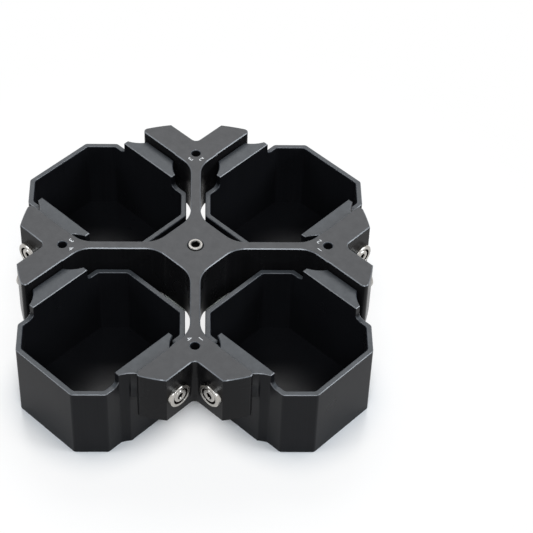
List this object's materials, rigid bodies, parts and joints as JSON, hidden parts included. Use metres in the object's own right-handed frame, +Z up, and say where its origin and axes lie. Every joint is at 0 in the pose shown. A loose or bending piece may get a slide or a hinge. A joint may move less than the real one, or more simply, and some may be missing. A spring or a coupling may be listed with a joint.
{
  "type": "swing out rotor",
  "caption": "Four-armed swing-out rotor cross with octagonal buckets that hang on trunnion pins and swing outwards, clamped by a central socket screw.",
  "frame": {"origin": "mouth of the drive bore, on the rotor's axis, at the underside of the hub", "axes": "+Z up along the rotor's axis; the pockets and buckets lie along +X, +Y, -X and -Y, the arms between them"},
  "size_m": [0.2764, 0.2764, 0.0772],
  "materials": {
    "anodised_aluminium": "satin black anodised",
    "bucket_aluminium": "satin black anodised",
    "black_steel": "blackened, smooth",
    "stainless_steel": "turned stainless",
    "cream_plastic": "matt off-white"
  },
  "bodies": {
    "rotor": {"rotor_body": "anodised_aluminium", "drive_sleeve": "stainless_steel", "id_ring": "cream_plastic", "pin_screws": "stainless_steel", "pin_1a": "black_steel", "pin_1b": "black_steel", "pin_2a": "black_steel", "pin_2b": "black_steel", "pin_3a": "black_steel", "pin_3b": "black_steel", "pin_4a": "black_steel", "pin_4b": "black_steel", "flange_1a": "stainless_steel", "flange_1b": "stainless_steel", "flange_2a": "stainless_steel", "flange_2b": "stainless_steel", "flange_3a": "stainless_steel", "flange_3b": "stainless_steel", "flange_4a": "stainless_steel", "flange_4b": "stainless_steel"},
    "clamp_screw": {"clamp_screw": "stainless_steel"},
    "bucket_1": {"bucket_1": "bucket_aluminium"},
    "bucket_2": {"bucket_2": "bucket_aluminium"},
    "bucket_3": {"bucket_3": "bucket_aluminium"},
    "bucket_4": {"bucket_4": "bucket_aluminium"}
  },
  "joints": [
    {"name": "bucket_1_swing", "type": "hinge", "parent": "rotor", "child": "bucket_1", "pos_m": [0.08707, 0, 0.02345], "axis": [0, -1, 0], "range_deg": [-8, 90]},
    {"name": "bucket_2_swing", "type": "hinge", "parent": "rotor", "child": "bucket_2", "pos_m": [0, 0.08707, 0.02345], "axis": [1, 0, 0], "range_deg": [-8, 90]},
    {"name": "bucket_3_swing", "type": "hinge", "parent": "rotor", "child": "bucket_3", "pos_m": [-0.08707, 0, 0.02345], "axis": [0, 1, 0], "range_deg": [-8, 90]},
    {"name": "bucket_4_swing", "type": "hinge", "parent": "rotor", "child": "bucket_4", "pos_m": [0, -0.08707, 0.02345], "axis": [-1, 0, 0], "range_deg": [-8, 90]},
    {"name": "clamp_screw_turn", "type": "hinge", "parent": "rotor", "child": "clamp_screw", "pos_m": [0, 0, 0.0387], "axis": [0, 0, 1], "continuous": true}
  ]
}
